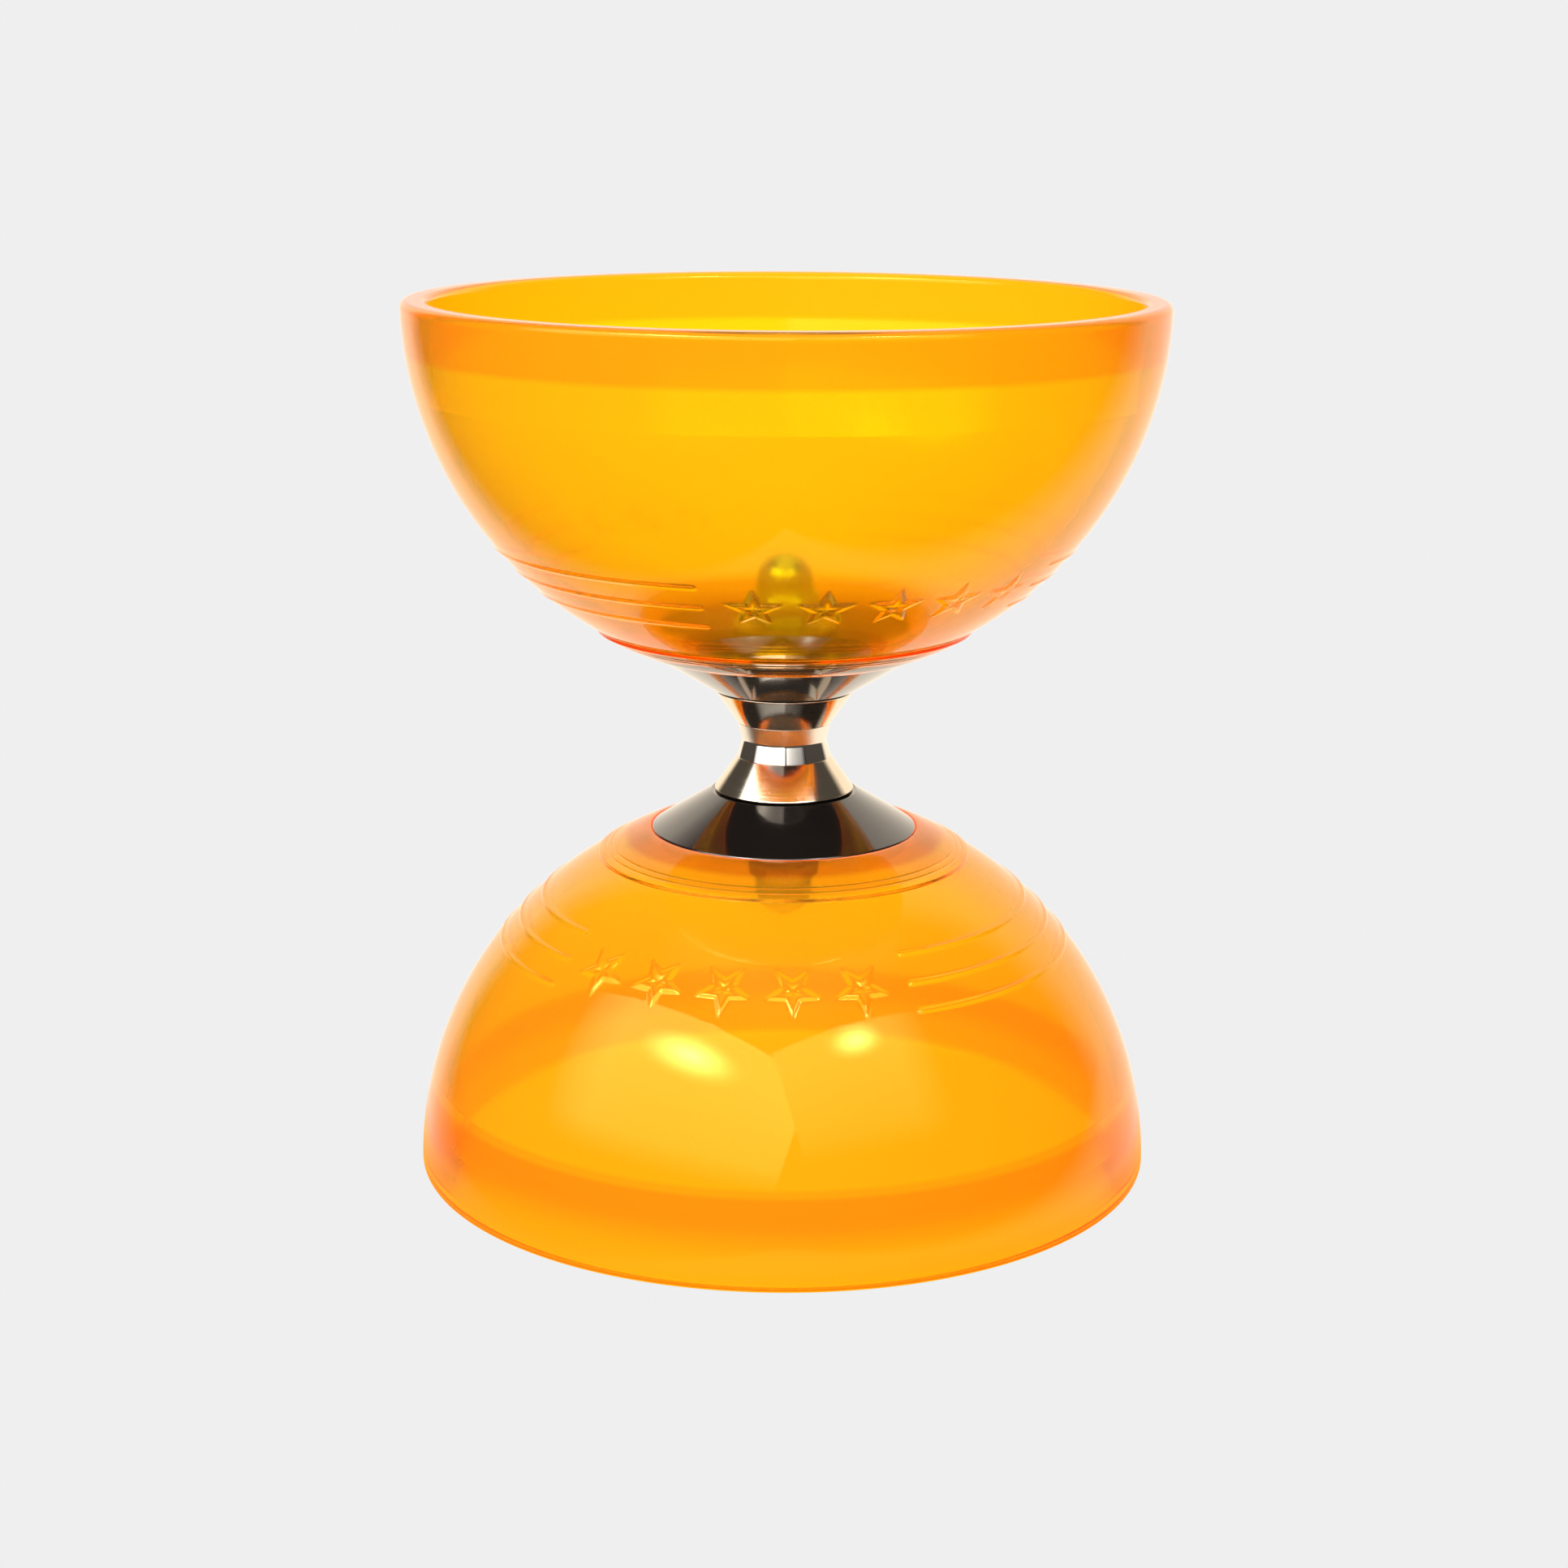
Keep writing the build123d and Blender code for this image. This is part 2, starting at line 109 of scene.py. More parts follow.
BEAD_HEIGHTS_Z = (26.6, 30.25, 33.9)
BEAD_HALF_WIDTH = 0.6
BEAD_RISE = 0.22
BEAD_END_LENGTH = 0.8
BEAD_GAP_ANGLE = 76.0
STAR_COUNT = 5
STAR_SPACING_ANGLE = 14.0
STAR_RADIUS = 5.0
STAR_WAIST = 0.42  # inner radius over outer radius
STAR_RISE = 0.2
STAR_SLOPE = 0.55  # width of a star's sloping edge
STAR_RIM = 1.0  # width of the raised outline round a star's sunk middle
STAR_SINK = 0.7  # how much of the rise the middle sinks back
DECOR_MARGIN = 1.0  # fine rows reach this far past the stars
DECOR_ANGLES = {UPPER: -68.0, LOWER: -102.0}  # where the middle star stands round the axle

HUB_NOSE_Z, _, HUB_EDGE_RADIUS = node_span("upper_hub_cone")
HUB_NOSE_RADIUS = 12.3
HUB_EDGE_Z = 15.15
HUB_NOSE_FILLET = 0.12
HUB_EDGE_FILLET = 0.35
HUB_BACK_FILLET = 0.2
HUB_POCKET_FILLET = 0.4
HUB_RIB_ROOT = 0.2  # how far a rib reaches into the walls around it
HUB_RIB_CLEARANCE = 0.05  # how far a rib stops from the cup's seat
HUB_BOSS_RADIUS = 8.6
HUB_SHELL = 2.0
HUB_RIM_LAND = 2.4
HUB_RIB_COUNT = 8
HUB_RIB_WIDTH = 1.4
SPIGOT_RADIUS = 6.0
SPIGOT_END_Z = 18.0
SPACER_SEAT_RADIUS = 3.97
SPACER_SEAT_DEPTH = 2.0
AXLE_HOLE_RADIUS = 3.2

GROOVE_RADIUS = 7.05
GROOVE_EDGE_Z, FLANK_END_Z, _ = node_span("upper_drum_flank")
GROOVE_EDGE_RADIUS = 7.9
GROOVE_EDGE_FILLET = 0.06
GROOVE_FILLET = 0.6
SLEEVE_END_Z = node_span("drum_sleeve")[1]
SLEEVE_TUBE_RADIUS = 7.0
SLEEVE_BORE_RADIUS = 6.0
FLANK_END_RADIUS = 11.85
FLANK_BORE_RADIUS = 7.02
FLANK_LIP_RADIUS = 5.4
FLANK_EDGE_FILLET = 0.15

_, NUT_TOP_Z, NUT_CORNER_RADIUS = node_span("upper_dome_nut")
NUT_CHAMFER_ANGLE = 30.0
NUT_HEX_HEIGHT = 5.5
NUT_DOME_RADIUS = 4.75
NUT_FLAT_RADIUS = 5.0
NUT_BORE_RADIUS = 3.03
NUT_BORE_DEPTH = 8.0
NUT_BORE_CHAMFER = 0.3
NUT_FACE_INSET = 0.05  # the end faces stop this far inside the chamfers
NUT_EDGE_INSET = 0.03  # and the flats this far from them
NUT_DOME_FILLET = 0.12
NUT_DOME_STEPS = 19
WASHER_LOWER_FILLET = 0.2
WASHER_UPPER_FILLET = 0.3

# Mesh columns around the axle, and a cup's rows: their spacing outside and their count inside.
COARSE_COLUMNS = 360
FINE_COLUMNS = 3 * COARSE_COLUMNS
DRUM_COLUMNS = 256
HUB_COLUMNS = 192
NUT_COLUMNS = 192
WASHER_COLUMNS = 160
OUTSIDE_SPACING = 1.1
LAND_EDGE_SPACING = 0.8
LAND_GROOVE_SPACING = 0.11
DECOR_SPACING = 0.25
GROOVE_MARGIN = 0.6  # the grooves' rows reach this far past the inner groove and the land's edge
INSIDE_STEPS = 46
STEP_CLEARANCE = 0.6  # the inside's rows stop this far from the step
FLOOR_CLEARANCE = 2.2  # and this far from the floor's edge, which leaves room for the roundings


# ---- Meshes of revolution ---------------------------------------------------------------------
def rounded(corners, steps=5):
    """A closed outline's points. A corner is (r, z) or (r, z, radius), and the latter is rounded."""
    points = []
    for index, corner in enumerate(corners):
        here = Vector(corner[:2])
        if len(corner) == 2:
            points.append(here)
            continue
        back = (Vector(corners[index - 1][:2]) - here).normalized()
        ahead = (Vector(corners[(index + 1) % len(corners)][:2]) - here).normalized()
        half = back.angle(ahead) / 2
        reach = corner[2] / tan(half)
        centre = here + (back + ahead).normalized() * corner[2] / sin(half)
        first = here + back * reach - centre
        last = here + ahead * reach - centre
        # A point just outside each end keeps the shading of the long faces flat.
        points.append(here + back * reach * FLAT_REACH)
        for step in range(steps + 1):
            points.append(centre + first.slerp(last, step / steps) * corner[2])
        points.append(here + ahead * reach * FLAT_REACH)
    return points


def arc(centre_z, radius, start_r, end_r, steps):
    """Points along the lower half of a sphere's outline, between two distances from the axle."""
    start, end = (np.arcsin(r / radius) for r in (start_r, end_r))
    angles = np.linspace(start, end, steps)
    return [(radius * sin(a), centre_z - radius * cos(a)) for a in angles]


def ring(columns, radius, height):
    """One ring of points. radius and height are numbers, or one number for each column."""
    turn = np.arange(columns) * (2 * pi / columns)
    points = np.empty((columns, 3))
    points[:, 0] = radius * np.cos(turn)
    points[:, 1] = radius * np.sin(turn)
    points[:, 2] = height
    return points


def stitched(rings, closed):
    """Faces between successive rings. A ring may have as many points as the next, or three times."""
    starts = np.cumsum([0] + [len(r) for r in rings])
    faces = []
    pairs = list(zip(range(len(rings) - 1), range(1, len(rings))))
    if closed:
        pairs.append((len(rings) - 1, 0))
    for low, high in pairs:
        count_low, count_high = len(rings[low]), len(rings[high])
        a, b = starts[low], starts[high]
        if count_high == 1:
            faces += [(a + i, a + (i + 1) % count_low, b) for i in range(count_low)]
        elif count_low == 1:
            faces += [(b + (i + 1) % count_high, b + i, a) for i in range(count_high)]
        elif count_low == count_high:
            for i in range(count_low):
                j = (i + 1) % count_low
                faces.append((a + i, a + j, b + j, b + i))
        elif count_high > count_low:
            for i in range(count_low):
                j = (i + 1) % count_low
                fine = [b + (3 * i + k) % count_high for k in range(4)]
                faces.append((a + i, fine[1], fine[0]))
                faces.append((a + i, fine[2], fine[1]))
                faces.append((a + i, a + j, fine[2]))
                faces.append((a + j, fine[3], fine[2]))
        else:
            for i in range(count_high):
                j = (i + 1) % count_high
                fine = [a + (3 * i + k) % count_low for k in range(4)]
                faces.append((b + i, fine[0], fine[1]))
                faces.append((b + i, fine[1], fine[2]))
                faces.append((b + j, b + i, fine[2]))
                faces.append((b + j, fine[2], fine[3]))
    return faces


def add_piece(name, points, faces, end, body, material, stands_for):
    """Makes one piece from points and faces in millimetres, mirrored for the lower end."""
    points = np.concatenate(points) * MM
    points[:, 2] *= end
    if end == LOWER:
        faces = [face[::-1] for face in faces]
    mesh = bpy.data.meshes.new(name)
    mesh.from_pydata(points.tolist(), [], faces)
    mesh.polygons.foreach_set("use_smooth", [True] * len(mesh.polygons))
    mesh.materials.append(material)
    mesh.validate()
    piece = bpy.data.objects.new(name, mesh)
    bpy.context.scene.collection.objects.link(piece)
    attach(piece, body)
    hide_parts(stands_for)


def turned(outline, columns):
    """Rings of a closed outline turned about the axle."""
    return [ring(columns, r, z) for r, z in outline]


# ---- Node helpers -----------------------------------------------------------------------------
def new_material(name):
    """A node material with only its output, the tree and the output node."""
    material = bpy.data.materials.new(name)
    material.use_nodes = True
    tree = material.node_tree
    tree.nodes.clear()
    output = tree.nodes.new("ShaderNodeOutputMaterial")
    return material, tree, output


def add_node(tree, kind, settings=(), values=(), links=()):
    """A node with its properties, socket values and incoming links set."""
    made = tree.nodes.new(kind)
    for key, value in dict(settings).items():
        setattr(made, key, value)
    for key, value in dict(values).items():
        made.inputs[key].default_value = value
    for key, source in dict(links).items():
        tree.links.new(source, made.inputs[key])
    return made


def math_node(tree, operation, first, second=None):
    """A Math node. Each operand is a number or a socket."""
    made = tree.nodes.new("ShaderNodeMath")
    made.operation = operation
    for index, value in enumerate((first, second)):
        if isinstance(value, bpy.types.NodeSocket):
            tree.links.new(value, made.inputs[index])
        elif value is not None:
            made.inputs[index].default_value = value
    return made.outputs[0]


def noise(tree, vector, scale, detail=3.0, roughness=0.5):
    return add_node(
        tree, "ShaderNodeTexNoise",
        values={"Scale": scale, "Detail": detail, "Roughness": roughness},
        links={"Vector": vector},
    ).outputs[0]


def spread(tree, value, low, high, start=0.3, end=0.7):
    """Maps start to end onto low to high, and holds past both. The defaults suit a noise."""
    return add_node(
        tree, "ShaderNodeMapRange",
        values={"From Min": start, "From Max": end, "To Min": low, "To Max": high},
        links={"Value": value},
    ).outputs[0]


def fade(tree, value, start, end):
    """1 up to start and 0 from end, both in millimetres, of a value in metres."""
    return spread(tree, value, 1.0, 0.0, start * MM, end * MM)


def mixed(tree, factor, first, second):
    """A colour Mix. The factor is a socket, and each colour a socket or a fixed colour."""
    made = add_node(tree, "ShaderNodeMix", {"data_type": "RGBA"}, links={0: factor})
    for index, colour in ((6, first), (7, second)):
        if isinstance(colour, bpy.types.NodeSocket):
            tree.links.new(colour, made.inputs[index])
        else:
            made.inputs[index].default_value = colour
    return made.outputs[2]


def object_place(tree):
    return add_node(tree, "ShaderNodeTexCoord").outputs["Object"]


def split(tree, vector):
    """The X, Y and Z sockets of a vector socket."""
    return add_node(tree, "ShaderNodeSeparateXYZ", links={"Vector": vector}).outputs


def vector_node(tree, operation, first, second=None):
    """A Vector Math node on a socket and a fixed vector. Its outputs are the vector and the value."""
    made = tree.nodes.new("ShaderNodeVectorMath")
    made.operation = operation
    tree.links.new(first, made.inputs[0])
    if second is not None:
        made.inputs[1].default_value = second
    return made.outputs


def turning_place(tree, around, along):
    """A texture place for turning marks: slow around the axle and fast along it and outwards."""
    x, y, z = split(tree, object_place(tree))
    angle = math_node(tree, "ARCTAN2", y, x)
    squares = math_node(tree, "ADD", math_node(tree, "MULTIPLY", x, x), math_node(tree, "MULTIPLY", y, y))
    radius = math_node(tree, "SQRT", squares)
    place = add_node(tree, "ShaderNodeCombineXYZ", links={
        "X": math_node(tree, "MULTIPLY", angle, around),
        "Y": math_node(tree, "MULTIPLY", z, along),
        "Z": math_node(tree, "MULTIPLY", radius, along),
    })
    return place.outputs[0]


# ---- Materials --------------------------------------------------------------------------------
CUP_HAZE = 0.08  # how much rougher the inside of a cup is
# In millimetres: from a cup's centre, where the haze fades out, and from the axle, the collar's painted
# shade.
INSIDE_REACH = (CUP_RADIUS - CUP_WALL + 0.8, CUP_RADIUS - 1.2)
COLLAR_SHADE_REACH = (26.4, 27.6)
CUP_TINT = (1.0, 0.86, 0.04, 1.0)
# painted shade: brownish orange round the hub, for the black hub seen through the plastic
COLLAR_PAINTED_SHADE = (0.74, 0.38, 0.03, 1.0)
# painted shade: deeper orange at the upper cup's thick rim and the lower cup's inner step
RIM_PAINTED_SHADE = (1.0, 0.66, 0.04, 1.0)
STEP_PAINTED_SHADE = (0.94, 0.60, 0.04, 1.0)
# Painted glow: after this many mirror bounces the plastic gives off orange light of its own, though it is
# no lamp.
PAINTED_GLOW_BOUNCES = 4  # after this many mirror bounces, a ray finds the plastic glowing orange
WEAR_EDGE = 0.3  # millimetres above the middle of the groove over which it gets rougher


def cup_plastic():
    """Clear orange polyurethane: glossy outside, hazy inside, tinted by depth, with painted shade by place
    and a painted glow.
    """
    material, tree, output = new_material("orange_clear_plastic")
    place = object_place(tree)
    scuffs = noise(tree, place, 90.0, 6.0, 0.7)
    flow = noise(tree, place, 28.0, 1.0)
    grain = noise(tree, place, 1400.0, 2.0)
    bump_flow = add_node(tree, "ShaderNodeBump", values={"Strength": 0.06, "Distance": 0.001},
                         links={"Height": flow})
    bump = add_node(tree, "ShaderNodeBump", values={"Strength": 0.008, "Distance": 0.0002},
                    links={"Height": grain, "Normal": bump_flow.outputs[0]})
    # Distance from the nearer cup's centre tells the inside from the outside.
    folded = vector_node(tree, "ABSOLUTE", place)[0]
    from_centre = vector_node(tree, "SUBTRACT", folded, (0.0, 0.0, CUP_CENTRE_Z * MM))[0]
    inside = fade(tree, vector_node(tree, "LENGTH", from_centre)[1], *INSIDE_REACH)
    haze = math_node(tree, "MULTIPLY", inside, CUP_HAZE)
    # Painted shade: three places get a darker tint that the plastic itself doesn't have: the collar round
    # the hub, on both cups, brownish for the black hub seen through it,
    flat = vector_node(tree, "MULTIPLY", place, (1.0, 1.0, 0.0))[0]
    collar = fade(tree, vector_node(tree, "LENGTH", flat)[1], *COLLAR_SHADE_REACH)
    # the thick rim of the upper cup, and the inner step of the lower one, deeper orange for how dark they
    # look there.
    _, _, z = split(tree, place)
    below_rim = fade(tree, z, RIM_BAND_Z - 0.6, RIM_BAND_Z + 0.4)
    step = math_node(
        tree, "MULTIPLY",
        fade(tree, z, -WALL_START_Z - 0.4, -WALL_START_Z + 0.4),
        spread(tree, z, 0.0, 1.0, (-RIM_BAND_Z - 3.0) * MM, (-RIM_BAND_Z + 2.0) * MM),
    )
    tint = mixed(tree, collar, CUP_TINT, COLLAR_PAINTED_SHADE)
    tint = mixed(tree, below_rim, RIM_PAINTED_SHADE, tint)
    tint = mixed(tree, step, tint, STEP_PAINTED_SHADE)
    # Painted glow: deep in a bounce chain the plastic shines orange as if it were a lamp. Without this
    # glow, dark crescents stand along the rims and the relief.
    bounces = add_node(tree, "ShaderNodeLightPath").outputs["Glossy Depth"]
    painted_glow = math_node(tree, "GREATER_THAN", bounces, PAINTED_GLOW_BOUNCES - 0.5)
    material.cycles.emission_sampling = "NONE"
    shader = add_node(
        tree, "ShaderNodeBsdfPrincipled",
        values={
            "IOR": 1.46, "Transmission Weight": 0.93, "Specular Tint": (1.0, 0.74, 0.17, 1.0),
            "Emission Color": (1.2, 0.75, 0.05, 1.0),
        },
        links={
            "Base Color": tint,
            "Roughness": math_node(tree, "ADD", spread(tree, scuffs, 0.02, 0.05), haze),
            "Normal": bump.outputs[0],
            "Emission Strength": painted_glow,
        },
    )
    depth = add_node(tree, "ShaderNodeVolumeAbsorption",
                     values={"Color": (0.999, 0.961, 0.0, 1.0), "Density": 1100.0})
    tree.links.new(shader.outputs[0], output.inputs["Surface"])
    tree.links.new(depth.outputs[0], output.inputs["Volume"])
    return material


def black_plastic():
    """Glossy black moulding with a faint swirl and fine handling marks."""
    material, tree, output = new_material("gloss_black_plastic")
    place = object_place(tree)
    marks = noise(tree, place, 160.0, 6.0, 0.7)
    swirl = noise(tree, turning_place(tree, 1.2, 900.0), 1.0, 3.0)
    tone = mixed(tree, noise(tree, place, 60.0), (0.0045, 0.0035, 0.0030, 1.0),
                 (0.0085, 0.0062, 0.0052, 1.0))
    bump = add_node(tree, "ShaderNodeBump", values={"Strength": 0.05, "Distance": 0.0002},
                    links={"Height": swirl})
    shader = add_node(
        tree, "ShaderNodeBsdfPrincipled",
        values={"IOR": 1.6, "Coat Weight": 0.8, "Coat IOR": 1.5, "Coat Roughness": 0.05},
        links={
            "Base Color": tone,
            "Roughness": spread(tree, marks, 0.08, 0.15),
            "Normal": bump.outputs[0],
        },
    )
    tree.links.new(shader.outputs[0], output.inputs["Surface"])
    return material


def turned_metal(name, colour, rough, bump_strength, anisotropy, wear=0.0):
    """Lathe-turned metal: fine rings around the axle, and a slight clouding of its tone.

    wear is how much rougher the piece is above the middle of the groove than below it.
    """
    material, tree, output = new_material(name)
    rings = noise(tree, turning_place(tree, 0.8, 2600.0), 1.0, 4.0, 0.6)
    cloud = noise(tree, object_place(tree), 220.0, 4.0)
    darker = [0.9 * c for c in colour]
    tone = mixed(tree, spread(tree, cloud, 0.0, 1.0), (*darker, 1.0), (*colour, 1.0))
    bump = add_node(tree, "ShaderNodeBump", values={"Strength": bump_strength, "Distance": 0.00005},
                    links={"Height": rings})
    tangent = add_node(tree, "ShaderNodeTangent", {"direction_type": "RADIAL", "axis": "Z"})
    roughness = spread(tree, rings, *rough)
    if wear:
        _, _, z = split(tree, object_place(tree))
        roughness = math_node(tree, "ADD", roughness, spread(tree, z, 0.0, wear, 0.0, WEAR_EDGE * MM))
    shader = add_node(
        tree, "ShaderNodeBsdfPrincipled",
        values={"Metallic": 1.0, "Anisotropic": anisotropy},
        links={
            "Base Color": tone,
            "Roughness": roughness,
            "Normal": bump.outputs[0],
            "Tangent": tangent.outputs[0],
        },
    )
    tree.links.new(shader.outputs[0], output.inputs["Surface"])
    return material


def plated_steel():
    """Bright zinc plating with soft clouding."""
    material, tree, output = new_material("zinc_plated_steel")
    place = object_place(tree)
    cloud = noise(tree, place, 300.0, 5.0, 0.6)
    tone = mixed(tree, spread(tree, cloud, 0.0, 1.0), (0.64, 0.62, 0.58, 1.0), (0.78, 0.76, 0.73, 1.0))
    bump = add_node(tree, "ShaderNodeBump", values={"Strength": 0.08, "Distance": 0.0001},
                    links={"Height": noise(tree, place, 2500.0, 3.0)})
    shader = add_node(
        tree, "ShaderNodeBsdfPrincipled",
        values={"Metallic": 1.0},
        links={
            "Base Color": tone,
            "Roughness": spread(tree, cloud, 0.24, 0.38),
            "Normal": bump.outputs[0],
        },
    )
    tree.links.new(shader.outputs[0], output.inputs["Surface"])
    return material


# ---- Cups -------------------------------------------------------------------------------------
def polar_angle(radius, z):
    """Angle at the cup's centre, from straight along the axle, of a height on this sphere."""
    return acos((CUP_CENTRE_Z - z) / radius)


def smooth_step(value):
    value = np.clip(value, 0.0, 1.0)
    return value * value * (3.0 - 2.0 * value)


def star_distance(u, v):
    """Distance inside a star's edge, in millimetres, and negative outside it."""
    turn = np.arctan2(u, v)
    reach = np.hypot(u, v)
    # Folded into one of ten equal wedges, each with a tip on one side and a waist on the other.
    wedge = np.abs((turn + pi / 5) % (2 * pi / 5) - pi / 5)
    across, along = reach * np.sin(wedge), reach * np.cos(wedge)
    tip = np.array((0.0, STAR_RADIUS))
    waist = STAR_RADIUS * STAR_WAIST * np.array((sin(pi / 5), cos(pi / 5)))
    edge = (waist - tip) / np.linalg.norm(waist - tip)
    return edge[0] * (tip[1] - along) + edge[1] * across


def relief(angle, turn, decor_angle):
    """Height of the raised decoration at one polar angle, for each turn around the axle."""
    height = np.zeros_like(turn)
    middle = polar_angle(CUP_RADIUS, BEAD_HEIGHTS_Z[1])
    radius = CUP_RADIUS * sin(middle)
    from_gap = np.full_like(turn, np.inf)
    for side in (0.0, pi):
        offset = (turn - radians(decor_angle) - side + pi) % (2 * pi) - pi
        from_gap = np.minimum(from_gap, np.abs(offset))
    ends = smooth_step((from_gap - radians(BEAD_GAP_ANGLE / 2)) * radius / BEAD_END_LENGTH)
    for bead_z in BEAD_HEIGHTS_Z:
        away = abs(angle - polar_angle(CUP_RADIUS, bead_z)) * CUP_RADIUS / BEAD_HALF_WIDTH
        if away < 1.0:
            height += BEAD_RISE * (0.5 + 0.5 * cos(pi * away)) * ends
    v = (angle - middle) * CUP_RADIUS
    if abs(v) < STAR_RADIUS + DECOR_MARGIN:
        for side in (0.0, pi):
            for index in range(STAR_COUNT):
                place = radians((index - (STAR_COUNT - 1) / 2) * STAR_SPACING_ANGLE)
                offset = (turn - radians(decor_angle) - side - place + pi) % (2 * pi) - pi
                near = np.abs(offset) * radius < STAR_RADIUS + DECOR_MARGIN
                inside = star_distance(offset[near] * radius, np.full(near.sum(), v))
                raised = smooth_step(inside / STAR_SLOPE)
                sunk = smooth_step((inside - STAR_RIM) / STAR_SLOPE)
                height[near] += STAR_RISE * (raised - STAR_SINK * sunk)
    return height


def land_height(angle):
    """How far the outside stands proud of the plain sphere beside the hub, with its fine grooves."""
    edge = np.arcsin(LAND_EDGE_RADIUS / CUP_RADIUS)
    away = (angle - edge) * CUP_RADIUS
    height = LAND_RISE * (1.0 - smooth_step(0.5 + away / LAND_EDGE_WIDTH))
    for groove_r in LAND_GROOVE_RADII:
        groove = abs(angle - np.arcsin(groove_r / (CUP_RADIUS + LAND_RISE))) * CUP_RADIUS
        height -= LAND_GROOVE_DEPTH * max(0.0, 1.0 - groove / LAND_GROOVE_HALF_WIDTH)
    return height


def row_angles(start, end, spacing):
    """Polar angles from start to end, spaced along the arc by about this many millimetres."""
    steps = max(1, round((end - start) * CUP_RADIUS / spacing))
    return list(np.linspace(start, end, steps, endpoint=False))


def cup_rings(decor_angle):
    """Rings of the whole cup, from the hub's seat over the outside and the rim to the floor."""
    seat = rounded([
        (CUP_HOLE_RADIUS, CUP_FLOOR_Z, BORE_FILLET),
        (CUP_HOLE_RADIUS, SEAT_Z, BORE_FILLET),
        (SEAT_RADIUS, SEAT_Z, SEAT_FILLET),
        (SEAT_RADIUS, LIP_Z, LIP_FILLET),
        (sqrt((CUP_RADIUS + LAND_RISE)**2 - (CUP_CENTRE_Z - LIP_Z)**2), LIP_Z),
    ])[:-1]
    rings = turned(seat[1:], COARSE_COLUMNS)

    lip_angle = polar_angle(CUP_RADIUS + LAND_RISE, LIP_Z)
    groove_start = np.arcsin((LAND_GROOVE_RADII[0] - GROOVE_MARGIN) / CUP_RADIUS)
    groove_end = np.arcsin((LAND_EDGE_RADIUS + GROOVE_MARGIN) / CUP_RADIUS)
    band_reach = STAR_RADIUS + DECOR_MARGIN
    band_middle = polar_angle(CUP_RADIUS, BEAD_HEIGHTS_Z[1])
    band_start = band_middle - band_reach / CUP_RADIUS
    band_end = band_middle + band_reach / CUP_RADIUS
    rim_angle = polar_angle(CUP_RADIUS, RIM_Z - RIM_ROUND_START * RIM_FILLET)
    first_angle = lip_angle + FLAT_REACH * LIP_FILLET / CUP_RADIUS
    coarse = row_angles(first_angle, groove_start, OUTSIDE_SPACING)
    coarse += row_angles(groove_start, groove_end, LAND_GROOVE_SPACING)
    coarse += row_angles(groove_end, band_start, LAND_EDGE_SPACING)
    for angle in coarse:
        reach = CUP_RADIUS + land_height(angle)
        rings.append(ring(COARSE_COLUMNS, reach * sin(angle), CUP_CENTRE_Z - reach * cos(angle)))
    turn = np.arange(FINE_COLUMNS) * (2 * pi / FINE_COLUMNS)
    for angle in row_angles(band_start, band_end, DECOR_SPACING):
        reach = CUP_RADIUS + relief(angle, turn, decor_angle)
        rings.append(ring(FINE_COLUMNS, reach * sin(angle), CUP_CENTRE_Z - reach * cos(angle)))
    for angle in row_angles(band_end, rim_angle, OUTSIDE_SPACING):
        rings.append(ring(COARSE_COLUMNS, CUP_RADIUS * sin(angle), CUP_CENTRE_Z - CUP_RADIUS * cos(angle)))

    inner = CUP_RADIUS - CUP_WALL
    wall_start = sqrt(inner**2 - (CUP_CENTRE_Z - WALL_START_Z)**2)
    floor_edge = sqrt(inner**2 - (CUP_CENTRE_Z - CUP_FLOOR_Z)**2)
    inside = arc(CUP_CENTRE_Z, inner, wall_start - STEP_CLEARANCE, floor_edge + FLOOR_CLEARANCE,
                 INSIDE_STEPS)
    last = rounded([
        (CUP_RADIUS * sin(rim_angle), CUP_CENTRE_Z - CUP_RADIUS * cos(rim_angle)),
        (CUP_RADIUS, RIM_Z, RIM_FILLET),
        (RIM_INNER_RADIUS, RIM_Z, RIM_FILLET),
        (RIM_BAND_RADIUS, RIM_BAND_Z, STEP_FILLET),
        (wall_start, WALL_START_Z, STEP_FILLET),
        *inside,
        (floor_edge, CUP_FLOOR_Z, FLOOR_FILLET),
        (CUP_HOLE_RADIUS, CUP_FLOOR_Z),
    ], steps=7)
    rings += turned(last[:-1], COARSE_COLUMNS)
    return rings


def add_cups(material):
    for end, name in END_NAMES.items():
        rings = cup_rings(DECOR_ANGLES[end])
        add_piece(f"{name}_cup_shell", rings, stitched(rings, closed=True), end,
                  HUB_BODY, material, f"{name}_cup")


